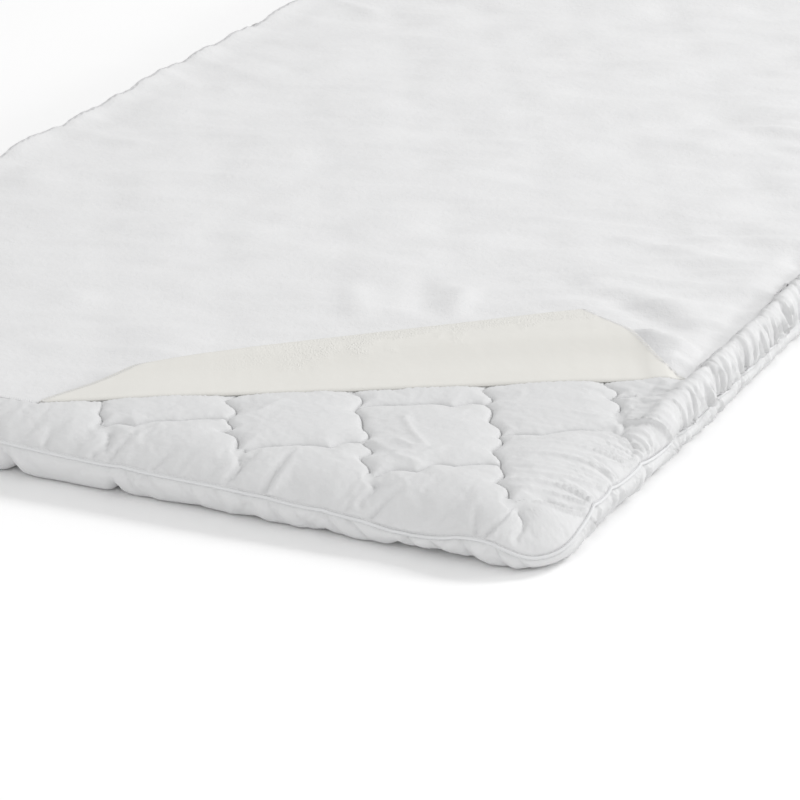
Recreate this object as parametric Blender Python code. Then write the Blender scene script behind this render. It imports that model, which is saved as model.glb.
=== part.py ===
"""A waterproof mattress protector, one corner turned back, on the quilted mattress pad that it covers.

Metres, +Z up. The origin is the middle of the pad's underside, +X goes across the pad and +Y from its
near end to its far end. Three solids: the filled pad with its sewn channels, the piping in its edge seam,
and the protector, one thin sheet of coated cloth.
"""

import math

import bmesh
import bpy
import numpy as np
from mathutils.geometry import delaunay_2d_cdt

# The pad, over its edge rolls.
PAD_WIDTH = 0.900
PAD_LENGTH = 2.000
PAD_CORNER = 0.055  # plan radius of a corner
PAD_SHOULDER = 0.0470  # height of the top where the edge roll ends
PAD_CROWN = 0.0020  # how much higher the top is in the middle
DRAW_IN = 0.003  # how far the middle of each side is pulled in from its corners
PINCH_PITCH = 0.075  # from one gather of the edge to the next
PINCH_DEPTH = 0.0035  # how far a gather pulls the edge in
CORNER_STEPS = 4

# The piping in the edge seam.
PIPING_DIAMETER = 0.0035
PIPING_INSET = 0.0030  # its centreline, in from the outline
PIPING_SIDE = 0.0212  # its height along the two long sides
PIPING_END = 0.0290  # and along the near and far ends
PIPING_CORNER = 0.0120  # and at the corners, where it dips
PIPING_DIP_REACH = 0.110  # how far from a corner the dip is felt

# The quilting: scalloped seams across the pad, and shorter ones from each to the next.
SEAM_SPACING = 0.1265  # between two long seams, measured across the pad
SEAM_SLOPE = 0.53  # how far a long seam moves across for each metre towards the near end
SEAM_X = 0.3570  # where one long seam passes
SEAM_Y = -0.9000
SCALLOP = 0.0300  # length of one scallop along the pad
SCALLOP_RISE = 0.0055
FIRST_SCALLOP_Y = -0.9575  # where a scallop of each long seam starts
SCALLOPS_A_CELL = 4
LONG_SEAMS = range(-8, 10)
SCALLOP_STEPS = range(-2, 68)
SEAM_MARGIN = 0.038  # the seams stop this far in from the outline
SEAM_DEPTH = 0.0025  # how far a seam is sunk below the shoulder's height
PUFF_RISE = 0.0040  # how far the filling between the seams rises above it
PUFF_REACH = 0.044  # from a seam to where the filling has its full height

# The protector: one rectangle of coated cloth.
SHEET_WIDTH = 0.868
SHEET_LENGTH = 1.882
SHEET_RIGHT = 0.429  # its right edge
SHEET_THICK = 0.0012
SHEET_GAP = 0.0004  # between the cloth and the puffs that it lies on

# Its turned-back corner. The first fold runs from the near edge to the right edge.
FOLD_START = (-0.0565, -0.9394)
FOLD_END = (0.4295, -0.6504)
TIP_FOLD_START = 0.094  # the second fold meets the near edge this far from the first
TIP_FOLD_END = 0.171  # and the right edge this far from it
TIP_RADIUS = 0.004

# The side of the pad in section, from the flat underside up to the shoulder.
# inset: in from the outline; level: 0 floor, 1 piping, 2 shoulder; offset: added height; pinch: its share
SIDE_SECTION = (
    # inset, level, offset, pinch
    (0.0240, 0.00, 0.0000, 0.4),
    (0.0020, 0.42, 0.0000, 0.8),
    (0.0034, 1.00, -0.0044, 1.0),
    (0.0059, 1.00, 0.0000, 1.0),
    (0.0034, 1.00, 0.0044, 1.0),
    (0.0000, 1.40, 0.0000, 0.9),
    (0.0100, 1.84, 0.0000, 0.7),
    (0.0280, 2.00, 0.0000, 0.4),
)

# How the cloth turns over at the first fold: its slope there, in degrees from straight back, at a distance
# past the fold line. 180 is forward and flat, 90 straight up.
FOLD_SECTION = (
    # distance, slope
    (0.000, 180.0),
    (0.008, 128.0),
    (0.016, 82.0),
    (0.026, 34.0),
    (0.038, 16.0),
    (0.052, 9.0),
    (0.070, 0.5),
    (0.130, -4.0),
    (0.250, -9.0),
)

# The soft ridges that the laid cloth keeps beside its turned-back corner.
RIDGES = (
    # from x, from y, to x, to y, width, height
    (0.340, -0.562, 0.425, -0.585, 0.022, 0.0050),
    (0.395, -0.500, 0.440, -0.545, 0.018, 0.0030),
    (0.200, -0.620, 0.120, -0.535, 0.030, 0.0030),
)


def edge_stations():
    """Round the outline, anticlockwise: plan point, outward direction, height of the piping, and gather."""
    stations = []
    half_width = PAD_WIDTH / 2 - PAD_CORNER
    half_length = PAD_LENGTH / 2 - PAD_CORNER
    centres = ((half_width, -half_length), (half_width, half_length),
               (-half_width, half_length), (-half_width, -half_length))
    for turn, centre in enumerate(centres):
        for step in range(CORNER_STEPS):
            angle = math.radians(90 * (turn - 1) + 90 * step / CORNER_STEPS)
            out = np.array((math.cos(angle), math.sin(angle)))
            stations.append((np.array(centre) + PAD_CORNER * out, out, PIPING_CORNER, 0.0))
        out = np.array((math.cos(math.radians(90 * turn)), math.sin(math.radians(90 * turn))))
        along = np.array((-out[1], out[0]))
        run = 2 * (half_length if turn % 2 == 0 else half_width)
        height = PIPING_SIDE if turn % 2 == 0 else PIPING_END
        count = 2 * round(run / PINCH_PITCH)
        for step in range(count):
            share = step / count
            start = np.array(centre) + PAD_CORNER * out - out * DRAW_IN * 4 * share * (1 - share)
            near = math.exp(-((min(share, 1 - share) * run / PIPING_DIP_REACH) ** 2))
            gather = (step % 2) * PINCH_DEPTH * (0.75 + 0.25 * math.sin(2.1 * step + turn))
            piping = height - (height - PIPING_CORNER) * near
            stations.append((start + along * run * share, out, piping, gather))
    return stations


def ring(stations, inset, level, offset, pinch):
    """One closed line of points round the pad."""
    points = []
    for point, out, seam, gather in stations:
        x, y = point - out * (inset + pinch * gather)
        height = seam * level if level <= 1 else seam + (PAD_SHOULDER - seam) * (level - 1)
        points.append((x, y, height + offset))
    return points


def outline_inset(x, y):
    """Distance in from the plain rounded outline."""
    out_x = max(abs(x) - PAD_WIDTH / 2 + PAD_CORNER, 0.0)
    out_y = max(abs(y) - PAD_LENGTH / 2 + PAD_CORNER, 0.0)
    inner = min(PAD_WIDTH / 2 - PAD_CORNER - abs(x), PAD_LENGTH / 2 - PAD_CORNER - abs(y))
    return PAD_CORNER - math.hypot(out_x, out_y) + max(inner, 0.0)


def long_seam_x(index, y):
    return SEAM_X + index * SEAM_SPACING - SEAM_SLOPE * (y - SEAM_Y)


def quilting():
    """Every seam as a list of plan points, two for each scallop, cut off at the margin."""
    seams = []
    for line in LONG_SEAMS:
        seam = []
        for step in SCALLOP_STEPS:
            y = FIRST_SCALLOP_Y + step * SCALLOP
            middle = y + SCALLOP / 2
            seam.append((long_seam_x(line, y), y))
            seam.append((long_seam_x(line, middle) + SCALLOP_RISE, middle + SCALLOP_RISE / 2))
        seams.append(seam)
        for step in SCALLOP_STEPS[::SCALLOPS_A_CELL]:
            y = FIRST_SCALLOP_Y + (step + 2) * SCALLOP
            start = np.array((long_seam_x(line, y), y))
            end_y = y + 2 * SCALLOP
            end = np.array((long_seam_x(line + 1, end_y), end_y))
            bow = np.array((-SCALLOP_RISE, SCALLOP_RISE)) / 2
            seams.append([tuple(start), tuple(start + (end - start) / 3 + bow),
                          tuple(start + (end - start) * 2 / 3 + bow), tuple(end)])
    kept = []
    for seam in seams:
        run = []
        for x, y in seam:
            if outline_inset(x, y) > SEAM_MARGIN:
                run.append((x, y))
            else:
                kept.append(run)
                run = []
        kept.append(run)
    return [run for run in kept if len(run) > 1]


def puff_points():
    """Plan points inside the cells of the quilting, where the filling stands up."""
    points = []
    for line in LONG_SEAMS:
        for step in SCALLOP_STEPS[::SCALLOPS_A_CELL]:
            y = FIRST_SCALLOP_Y + (step + 2) * SCALLOP
            start = np.array((long_seam_x(line, y), y))
            across = np.array((long_seam_x(line + 1, y + 2 * SCALLOP), y + 2 * SCALLOP)) - start
            cell = SCALLOPS_A_CELL * SCALLOP
            along = np.array((long_seam_x(line, y + cell), y + cell)) - start
            for share_across in (0.28, 0.72):
                for share_along in (0.2, 0.5, 0.8):
                    x, y_puff = start + across * share_across + along * share_along
                    if outline_inset(x, y_puff) > SEAM_MARGIN + 0.004:
                        points.append((x, y_puff))
    return points


def smooth(share):
    share = min(max(share, 0.0), 1.0)
    return share * share * (3 - 2 * share)


def puff_top(x, y):
    """Height of the filling between the seams, as if it had none."""
    crown = PAD_CROWN * (1 - (2 * x / PAD_WIDTH) ** 2) * (1 - (2 * y / PAD_LENGTH) ** 2)
    edge = SIDE_SECTION[-1][0]
    return PAD_SHOULDER + (crown + PUFF_RISE) * smooth((outline_inset(x, y) - edge) / 0.030)


def closed_mesh(name, points, faces, material):
    """An object whose mesh is turned to face out."""
    mesh = bpy.data.meshes.new(name)
    mesh.from_pydata(points, [], faces)
    work = bmesh.new()
    work.from_mesh(mesh)
    bmesh.ops.recalc_face_normals(work, faces=work.faces)
    work.to_mesh(mesh)
    work.free()
    mesh.shade_smooth()
    mesh.materials.append(material)
    thing = bpy.data.objects.new(name, mesh)
    bpy.context.scene.collection.objects.link(thing)
    return thing


def cloth_material(name, colour, roughness):
    material = bpy.data.materials.new(name)
    material.use_nodes = True
    shader = material.node_tree.nodes["Principled BSDF"]
    shader.inputs["Base Color"].default_value = (*colour, 1.0)
    shader.inputs["Roughness"].default_value = roughness
    shader.inputs["Metallic"].default_value = 0.0
    return material


def quilted_pad():
    """Rings up the side, a flat underside, and a top that dips along every seam."""
    stations = edge_stations()
    rings = [ring(stations, *row) for row in SIDE_SECTION]
    count = len(stations)
    points = [point for level in rings for point in level]
    faces = [list(range(count))]
    for level in range(len(rings) - 1):
        for i in range(count):
            j = (i + 1) % count
            low, high = level * count, (level + 1) * count
            faces.append([low + i, low + j, high + j, high + i])

    seams = quilting()
    plan = [point[:2] for point in rings[-1]]
    edges = []
    for seam in seams:
        first = len(plan)
        plan.extend(seam)
        edges.extend((i, i + 1) for i in range(first, len(plan) - 1))
    plan.extend(puff_points())
    flat, _, triangles, *_ = delaunay_2d_cdt(plan, edges, [list(range(count))], 1, 1e-5)
    stitched = np.array([point for seam in seams for point in seam])
    rim = np.array(rings[-1])
    index = {}
    for i, (x, y) in enumerate(flat):
        to_rim = np.hypot(rim[:, 0] - x, rim[:, 1] - y)
        if to_rim.min() < 1e-5:
            index[i] = (len(rings) - 1) * count + int(to_rim.argmin())
            continue
        away = np.hypot(stitched[:, 0] - x, stitched[:, 1] - y).min()
        sunk = 1 - smooth(away / PUFF_REACH)
        crown = puff_top(x, y)
        index[i] = len(points)
        points.append((x, y, crown - sunk * (crown - PAD_SHOULDER + SEAM_DEPTH)))
    faces.extend([index[i] for i in triangle] for triangle in triangles)
    return closed_mesh("quilted_pad", points, faces, cloth_material("pad_cover", (0.80, 0.80, 0.81), 0.75))


def edge_piping():
    """A cord sewn in round the pad where its two covers meet."""
    line = []
    for point, out, piping, gather in edge_stations():
        x, y = point - out * (PIPING_INSET + gather)
        line.append((x, y, piping))
    curve = bpy.data.curves.new("edge_piping", "CURVE")
    curve.dimensions = "3D"
    curve.bevel_depth = PIPING_DIAMETER / 2
    curve.bevel_resolution = 1
    spline = curve.splines.new("POLY")
    spline.points.add(len(line) - 1)
    for spot, (x, y, z) in zip(spline.points, line):
        spot.co = (x, y, z, 1.0)
    spline.use_cyclic_u = True
    curve.materials.append(cloth_material("piping_cover", (0.80, 0.80, 0.81), 0.70))
    cord = bpy.data.objects.new("edge_piping", curve)
    bpy.context.scene.collection.objects.link(cord)
    return cord


def pad_below(x, y):
    """Height of the pad's upper surface, without its seams, where cloth lies on it."""
    inset = outline_inset(x, y)
    for (low_inset, low_level, *_), (high_inset, high_level, *_) in zip(SIDE_SECTION[5:], SIDE_SECTION[6:]):
        if inset < high_inset:
            share = (inset - low_inset) / (high_inset - low_inset)
            level = low_level + (high_level - low_level) * share
            return PIPING_SIDE + (PAD_SHOULDER - PIPING_SIDE) * (level - 1)
    return puff_top(x, y)


def ridge_rise(x, y):
    """How much the soft ridges lift the laid cloth."""
    rise = 0.0
    for x0, y0, x1, y1, width, height in RIDGES:
        start, run = np.array((x0, y0)), np.array((x1 - x0, y1 - y0))
        share = min(max(np.dot(np.array((x, y)) - start, run) / np.dot(run, run), 0.0), 1.0)
        away = math.dist((x, y), start + share * run)
        rise += height * math.exp(-((away / width) ** 2))
    return rise


def laid_height(x, y):
    """Height of the middle of the cloth where it lies on the pad."""
    return pad_below(x, y) + ridge_rise(x, y) + SHEET_GAP + SHEET_THICK / 2


def fold_profile(distance):
    """Where the cloth is past the first fold: how far back, how high, and its slope in radians."""
    back, up, at = 0.0, 0.0, 0.0
    step = 0.0005
    lengths = [row[0] for row in FOLD_SECTION]
    slopes = [row[1] for row in FOLD_SECTION]
    while at < distance:
        part = min(step, distance - at)
        slope = math.radians(np.interp(at + part / 2, lengths, slopes))
        back += part * math.cos(slope)
        up += part * math.sin(slope)
        at += part
    return back, up, math.radians(np.interp(distance, lengths, slopes))


FOLD_ALONG = np.subtract(FOLD_END, FOLD_START) / math.dist(FOLD_END, FOLD_START)
FOLD_BACK = np.array((-FOLD_ALONG[1], FOLD_ALONG[0]))


def fold_coordinates(x, y):
    """A point of the flat cloth as its place along the first fold and its distance past it."""
    offset = np.array((x, y)) - np.array(FOLD_START)
    return float(offset @ FOLD_ALONG), float(-offset @ FOLD_BACK)


def tip_fold():
    """The second fold in those coordinates: its start, its direction, and the way to the corner's tip."""
    start = np.array(fold_coordinates(FOLD_START[0] + TIP_FOLD_START, FOLD_START[1]))
    end = np.array(fold_coordinates(FOLD_END[0], FOLD_END[1] - TIP_FOLD_END))
    along = (end - start) / np.linalg.norm(end - start)
    return start, along, np.array((-along[1], along[0]))


def lay(x, y, side):
    """Where a point of the flat cloth lies, that far to the coated side of the cloth's middle."""
    along, past = fold_coordinates(x, y)
    if past <= 0:
        return (x, y, laid_height(x, y) - side)
    start, line, beyond = tip_fold()
    over = float((np.array((along, past)) - start) @ beyond)
    if over > 0:
        turn = over / TIP_RADIUS
        foot = np.array((along, past)) - over * beyond
        if turn < math.pi:
            reach = (TIP_RADIUS + side) * math.sin(turn)
            side = (TIP_RADIUS + side) * math.cos(turn) - TIP_RADIUS
        else:
            reach = math.pi * TIP_RADIUS - over
            side = -2 * TIP_RADIUS - side
        along, past = foot + reach * beyond
    back, up, slope = fold_profile(past)
    back -= side * math.sin(slope)
    up += side * math.cos(slope)
    root = np.array(FOLD_START) + along * FOLD_ALONG
    spot = root + back * FOLD_BACK
    return (spot[0], spot[1], laid_height(*root) + up)


def cut(work, faces, point, normal):
    """Cuts the given faces along a straight line in the flat cloth and returns them as they are now."""
    faces = [face for face in faces if face.is_valid]
    geometry = faces + list({e for f in faces for e in f.edges}) + list({v for f in faces for v in f.verts})
    result = bmesh.ops.bisect_plane(work, geom=geometry, dist=1e-6, plane_co=(*point, 0), plane_no=(*normal, 0))
    return [piece for piece in result["geom"] if isinstance(piece, bmesh.types.BMFace)]


def waterproof_sheet():
    """The rectangle of cloth, cut up finely at its folds, laid down and given its thickness."""
    left, near = SHEET_RIGHT - SHEET_WIDTH, -SHEET_LENGTH / 2
    work = bmesh.new()
    corners = ((left, near), (SHEET_RIGHT, near), (SHEET_RIGHT, -near), (left, -near))
    whole = work.faces.new([work.verts.new((x, y, 0.0)) for x, y in corners])
    pieces = cut(work, [whole], FOLD_START, FOLD_BACK)

    def past_fold(face):
        return fold_coordinates(*face.calc_center_median()[:2])[1]

    laid = [face for face in pieces if past_fold(face) < 0]
    turned = [face for face in pieces if past_fold(face) > 0]
    edge = SIDE_SECTION[-1][0]
    flat_x = PAD_WIDTH / 2 - edge
    for x in (-flat_x, -flat_x + 0.015, -0.39, -0.36, -0.24, -0.12, 0.0, 0.09, 0.17, 0.25, 0.31,
              0.35, 0.38, flat_x - 0.015, flat_x):
        laid = cut(work, laid, (x, 0.0), (1.0, 0.0))
    for y in (-0.86, -0.76, -0.68, -0.62, -0.595, -0.575, -0.55, -0.52, -0.46, -0.38, -0.28,
              -0.16, -0.04, 0.08, 0.2, 0.32, 0.44, 0.56, 0.68, 0.8, 0.88):
        laid = cut(work, laid, (0.0, y), (0.0, 1.0))

    start = np.array(FOLD_START)
    for past in (0.004, 0.008, 0.012, 0.016, 0.021, 0.026, 0.032, 0.038, 0.052, 0.070, 0.100, 0.130, 0.18):
        turned = cut(work, turned, start - past * FOLD_BACK, FOLD_BACK)
    fold_start, line, beyond = tip_fold()
    across = beyond[0] * FOLD_ALONG - beyond[1] * FOLD_BACK
    corner = start + fold_start[0] * FOLD_ALONG - fold_start[1] * FOLD_BACK
    for share in (0.0, 0.2, 0.4, 0.6, 0.8, 1.0):
        turned = cut(work, turned, corner + share * math.pi * TIP_RADIUS * across, across)
    for along in (0.10, 0.20, 0.30, 0.40, 0.48):
        turned = cut(work, turned, start + along * FOLD_ALONG, FOLD_ALONG)

    bmesh.ops.triangulate(work, faces=work.faces)
    work.verts.index_update()
    flat = [vertex.co.copy() for vertex in work.verts]
    triangles = [[vertex.index for vertex in face.verts] for face in work.faces]
    rim = [[vertex.index for vertex in rim_edge.verts] for rim_edge in work.edges if rim_edge.is_boundary]
    work.free()
    count = len(flat)
    points = [lay(spot.x, spot.y, side) for side in (-SHEET_THICK / 2, SHEET_THICK / 2) for spot in flat]
    faces = triangles + [[i + count for i in reversed(triangle)] for triangle in triangles]
    faces.extend([a, b, b + count, a + count] for a, b in rim)
    return closed_mesh("waterproof_sheet", points, faces,
                       cloth_material("coated_cloth", (0.86, 0.86, 0.85), 0.80))


for old in list(bpy.data.objects):
    bpy.data.objects.remove(old)
quilted_pad()
edge_piping()
waterproof_sheet()
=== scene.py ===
import math

import bpy
import numpy as np
from mathutils.bvhtree import BVHTree
from mathutils.geometry import delaunay_2d_cdt
from mathutils.kdtree import KDTree
from mathutils.noise import noise
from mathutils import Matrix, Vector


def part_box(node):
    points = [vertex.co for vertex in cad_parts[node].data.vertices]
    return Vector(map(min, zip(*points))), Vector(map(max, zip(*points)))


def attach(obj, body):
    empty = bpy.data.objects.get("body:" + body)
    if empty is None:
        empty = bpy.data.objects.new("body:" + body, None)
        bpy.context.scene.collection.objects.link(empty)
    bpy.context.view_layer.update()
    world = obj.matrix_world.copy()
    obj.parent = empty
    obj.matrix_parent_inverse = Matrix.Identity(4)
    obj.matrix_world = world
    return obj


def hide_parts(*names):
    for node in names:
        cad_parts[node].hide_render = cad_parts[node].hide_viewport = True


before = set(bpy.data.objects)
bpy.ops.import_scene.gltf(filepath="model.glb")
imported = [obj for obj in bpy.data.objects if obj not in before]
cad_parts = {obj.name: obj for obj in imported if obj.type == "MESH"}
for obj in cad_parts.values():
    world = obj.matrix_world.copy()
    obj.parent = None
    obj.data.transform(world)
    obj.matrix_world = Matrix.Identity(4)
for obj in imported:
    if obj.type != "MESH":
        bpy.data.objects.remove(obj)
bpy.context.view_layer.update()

# The pad is looked at from low down off its near right corner, through a long lens.
look_down, look_left = 21.41, 25.12
camera = bpy.data.objects.new("camera", bpy.data.cameras.new("camera"))
camera.data.sensor_width = 36.0
camera.data.lens = 161.56
camera.data.clip_end = 200.0
camera.location = (1.4446, -3.408, 1.1787)
camera.rotation_euler = (math.radians(90 - look_down), 0.0, math.radians(look_left))
scene = bpy.context.scene
scene.collection.objects.link(camera)
scene.camera = camera
scene.view_settings.view_transform = "Standard"


# The studio: a white floor, one soft light above and behind the right side, a low one from the right, and a
# weak one in front.
def soft_light(name, place, aim, size, power):
    light = bpy.data.objects.new(name, bpy.data.lights.new(name, "AREA"))
    light.data.shape = "DISK"
    light.data.size = size
    light.data.energy = power
    light.location = place
    way = np.subtract(aim, place)
    tilt = math.atan2(math.hypot(way[0], way[1]), -way[2])
    light.rotation_euler = (tilt, 0.0, math.atan2(-way[0], way[1]))
    scene.collection.objects.link(light)


soft_light("key_light", (4.2, 5.0, 5.0), (0.1, -0.3, 0.0), 2.6, 290.0)
soft_light("side_light", (4.2, 1.4, 1.5), (0.3, -0.6, 0.0), 1.2, 44.0)
soft_light("front_light", (0.5, -4.5, 1.8), (0.2, -0.6, 0.0), 3.0, 34.0)
scene.world = bpy.data.worlds.new("studio")
scene.world.use_nodes = True
background = scene.world.node_tree.nodes["Background"]
background.inputs["Color"].default_value = (1.0, 1.0, 1.0, 1.0)
background.inputs["Strength"].default_value = 0.69

floor_size, floor_height = 40.0, -0.0006
floor_corners = [(x, y, floor_height) for x in (-floor_size, floor_size) for y in (-floor_size, floor_size)]
floor_mesh = bpy.data.meshes.new("floor")
floor_mesh.from_pydata(floor_corners, [], [(0, 2, 3, 1)])
floor = bpy.data.objects.new("floor", floor_mesh)
scene.collection.objects.link(floor)


class Value:
    """An output socket of a shader node. Sums with it add Math nodes."""

    def __init__(self, finish, socket):
        self.finish, self.socket = finish, socket

    def __add__(self, other):
        return self.finish.node("Math", {"operation": "ADD"}, {0: self, 1: other})

    def __mul__(self, other):
        return self.finish.node("Math", {"operation": "MULTIPLY"}, {0: self, 1: other})

    __radd__, __rmul__ = __add__, __mul__


class Finish:
    """A material with its Principled shader, and the nodes that feed it."""

    def __init__(self, name, **fixed):
        self.material = bpy.data.materials.new(name)
        self.material.use_nodes = True
        self.tree = self.material.node_tree
        self.shader = self.tree.nodes["Principled BSDF"]
        self.place = self.node("TexCoord", {}, {}, "Object")
        for socket, value in fixed.items():
            self.shader.inputs[socket.replace("_", " ")].default_value = value

    def node(self, kind, settings, sockets, out=0):
        made = self.tree.nodes.new("ShaderNode" + kind)
        for name, value in settings.items():
            setattr(made, name, value)
        for name, value in sockets.items():
            if isinstance(value, Value):
                self.tree.links.new(value.socket, made.inputs[name])
            else:
                made.inputs[name].default_value = value
        return Value(self, made.outputs[out])

    def feed(self, socket, value):
        self.tree.links.new(value.socket, self.shader.inputs[socket])

    def clouds(self, scale, detail=2.0):
        """Soft noise from 0 to 1, that many blobs to the metre."""
        return self.node("TexNoise", {}, {"Vector": self.place, "Scale": scale, "Detail": detail}, "Fac")

    def ribs(self, across, pitch):
        """Fine ribs along one axis of the object, each pitch apart."""
        waves = {"wave_type": "BANDS", "bands_direction": across, "wave_profile": "SIN"}
        # a band texture at scale 1 has one rib every pi / 10
        return self.node("TexWave", waves, {"Vector": self.place, "Scale": math.pi / 10 / pitch}, "Fac")

    def shade(self, mask, low, high):
        colours = {6: (*low, 1.0), 7: (*high, 1.0)}
        return self.node("Mix", {"data_type": "RGBA"}, {0: mask, **colours}, 2)

    def bump(self, height, depth):
        self.feed("Normal", self.node("Bump", {}, {"Height": height, "Distance": depth}))


floor_finish = Finish("floor_white", Base_Color=(0.98, 0.98, 0.98, 1.0), Roughness=0.9)
floor_finish.feed("Roughness", floor_finish.clouds(3.0) * 0.1 + 0.85)
floor_mesh.materials.append(floor_finish.material)

# ----------------------------------------------------------
# The pad's upper cover: white plain-weave cloth, quilted through the filling in scalloped cells. Its rim is
# longer than the piping it is sewn to, so it is eased in there and stands up in short radiating gathers.
half_x, half_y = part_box("quilted_pad")[1][:2]
corner_radius = 0.055
draw_in = 0.003  # how far the middle of each side is pulled in from its corners
side_seam, end_seam, corner_seam = 0.0212, 0.029, 0.012  # heights of the edge seam
dip_reach = 0.11  # how far from a corner it starts to dip
# Its height round the near right corner, by the distance past the middle of that corner.
corner_levels = ((-0.5, 0.0325), (-0.4, 0.0292), (-0.29, 0.0286), (-0.2, 0.024), (-0.16, 0.0229),
                 (-0.124, 0.0172), (-0.089, 0.0202), (-0.056, 0.0262), (-0.028, 0.0195), (-0.012, 0.0132),
                 (0.013, 0.014), (0.043, 0.022), (0.088, 0.028), (0.155, 0.028), (0.228, 0.0228),
                 (0.322, 0.0205), (0.66, 0.02))
run_x, run_y = 2 * (half_x - corner_radius), 2 * (half_y - corner_radius)
arc = corner_radius * math.pi / 2
round_pad = 2 * (run_x + run_y) + 4 * arc
# Anticlockwise from the near right corner: each corner's centre, the side after it and where that starts.
centres = np.array(((1, -1), (1, 1), (-1, 1), (-1, -1))) * (run_x / 2, run_y / 2)
runs = (run_y, run_x, run_y, run_x)
right_start = arc
far_start = right_start + run_y + arc
left_start = far_start + run_x + arc
near_start = round_pad - run_x
# Where the right and near edges are pinched, from the middle of each.
right_pinches = (-0.902, -0.864, -0.797, -0.715, -0.622, -0.555, -0.492, -0.44, -0.388)
near_pinches = (0.396, 0.364, 0.316, 0.243, 0.191, 0.055, -0.066)
chance = np.random.default_rng(23)


def smooth(share):
    share = np.clip(share, 0.0, 1.0)
    return share * share * (3 - 2 * share)


def unit(ways):
    return ways / np.linalg.norm(ways, axis=-1, keepdims=True)


def left_of(ways):
    """Plan vectors turned a quarter to the left."""
    return np.stack([-ways[..., 1], ways[..., 0]], -1)


def gap_to(place, along):
    """How far places round the pad are past one of them, the shorter way."""
    return (along - place + round_pad / 2) % round_pad - round_pad / 2


def outline(along):
    """Places round the pad as plan point, outward way and nearness to a corner."""
    along = np.asarray(along, float) % round_pad
    point, out = np.zeros(along.shape + (2,)), np.zeros(along.shape + (2,))
    near = np.ones(along.shape)
    start = 0.0
    for turn, (centre, run) in enumerate(zip(centres, runs)):
        bent = (along >= start) & (along < start + arc)
        angle = math.pi / 2 * (turn - 1) + (along[bent] - start) / corner_radius
        out[bent] = np.stack([np.cos(angle), np.sin(angle)], -1)
        point[bent] = centre + corner_radius * out[bent]
        start += arc
        straight = (along >= start) & (along < start + run)
        share = (along[straight] - start) / run
        across = np.array((round(math.cos(math.pi / 2 * turn)), round(math.sin(math.pi / 2 * turn))))
        onward = left_of(across)
        out[straight] = across
        reach = corner_radius - draw_in * 4 * share * (1 - share)
        point[straight] = centre + reach[:, None] * across + (share * run)[:, None] * onward
        near[straight] = np.exp(-((np.minimum(share, 1 - share) * run / dip_reach) ** 2))
        start += run
    return point, out, near


def inset_of(x, y):
    """Distance in from the plain rounded outline."""
    out_x, out_y = np.abs(x) - half_x + corner_radius, np.abs(y) - half_y + corner_radius
    inner = np.maximum(np.minimum(-out_x, -out_y), 0.0)
    return corner_radius - np.hypot(np.maximum(out_x, 0.0), np.maximum(out_y, 0.0)) + inner


# Each pinch: where it is round the pad, how far it pulls the edge in, and how far its pull is felt.
pinches = [(right_start + y + run_y / 2, chance.uniform(0.0022, 0.0032), 0.014) for y in right_pinches]


def pinch_row(place, end, strength, spacing, felt):
    while place < end:
        pinches.append((place, chance.uniform(*strength), felt))
        place += chance.uniform(*spacing)


pinch_row(right_start + right_pinches[-1] + 0.07 + run_y / 2, right_start + run_y - 0.03, (0.003, 0.006),
          (0.05, 0.095), 0.016)
pinch_row(far_start + 0.03, far_start + run_x, (0.0006, 0.0016), (0.06, 0.14), 0.012)
pinch_row(left_start + 0.03, left_start + run_y - 0.02, (0.0018, 0.0032), (0.05, 0.095), 0.014)
pinches += [(near_start + x + run_x / 2, chance.uniform(0.0008, 0.0016), 0.012) for x in near_pinches]
pinch_row(near_start + 0.03, near_start + near_pinches[-1] + run_x / 2 - 0.04, (0.0006, 0.0016),
          (0.05, 0.11), 0.012)
pinches = np.array(pinches)


def pull(along):
    """How far the pinches pull the edge seam in."""
    gap = np.abs(gap_to(pinches[:, 0], np.asarray(along)[..., None]))
    return (pinches[:, 1] * np.exp(-gap / pinches[:, 2])).sum(-1)


def seam_level(along, near):
    """Height of the edge seam: it dips at the corners, sways, and is drawn up a little at each pinch."""
    sway = 0.001 * np.sin(along * 31.0 + 1.3) + 0.0006 * np.sin(along * 73.0)
    plain = np.where(along % (round_pad / 2) < arc + run_y, side_seam, end_seam) + sway
    plain = corner_seam + (plain - corner_seam) * (1 - near)
    past = gap_to(arc / 2, along)
    level = sum(np.interp(past + shift, *zip(*corner_levels)) for shift in (-0.008, 0.0, 0.008)) / 3
    share = smooth((past + 0.56) / 0.07) * smooth((0.72 - past) / 0.07)
    return plain + (level - plain) * share + 0.9 * pull(along)


# One station every few millimetres round the pad, closer together on the sides by the turned-back corner.
stations, at = [], 0.0
while at < round_pad - 0.002:
    stations.append(at)
    right = 0.0016 if at < arc + 0.45 else 0.002
    at += right if at < arc + 0.72 else 0.0025 if at > round_pad - 0.66 else 0.0046
stations = np.array(stations)
count = len(stations)

seam_spacing, seam_slope = 0.1265, 0.56
seam_x, seam_y = 0.359, -0.9
scallop, scallops_a_cell, first_scallop = 0.03, 4, -0.9575
long_bow, short_bow = 0.0085, 0.006  # how far the stretches of the seams are bowed
pad_shoulder, pad_crown, puff_rise = 0.047, 0.002, 0.004
rolled = 0.036  # how far in the edge roll of the cover goes


def bowed(cusps, bow, step, wander):
    """A seam through its cusps, every stretch of it bowed to the left."""
    points = []
    for a, b in zip(cusps[:-1], cusps[1:]):
        chord = b - a
        length = np.linalg.norm(chord)
        share = np.arange(max(2, round(length * 1.1 / step)))
        share = share / len(share)
        side = left_of(chord) / length
        curve = np.sin(math.pi * share ** wander.uniform(0.6, 1.8)) ** wander.uniform(0.8, 1.5)
        points.append(a + share[:, None] * chord + (bow * wander.uniform(0.25, 1.3) * curve)[:, None] * side)
    points.append(cusps[-1:])
    return np.concatenate(points)


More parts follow.
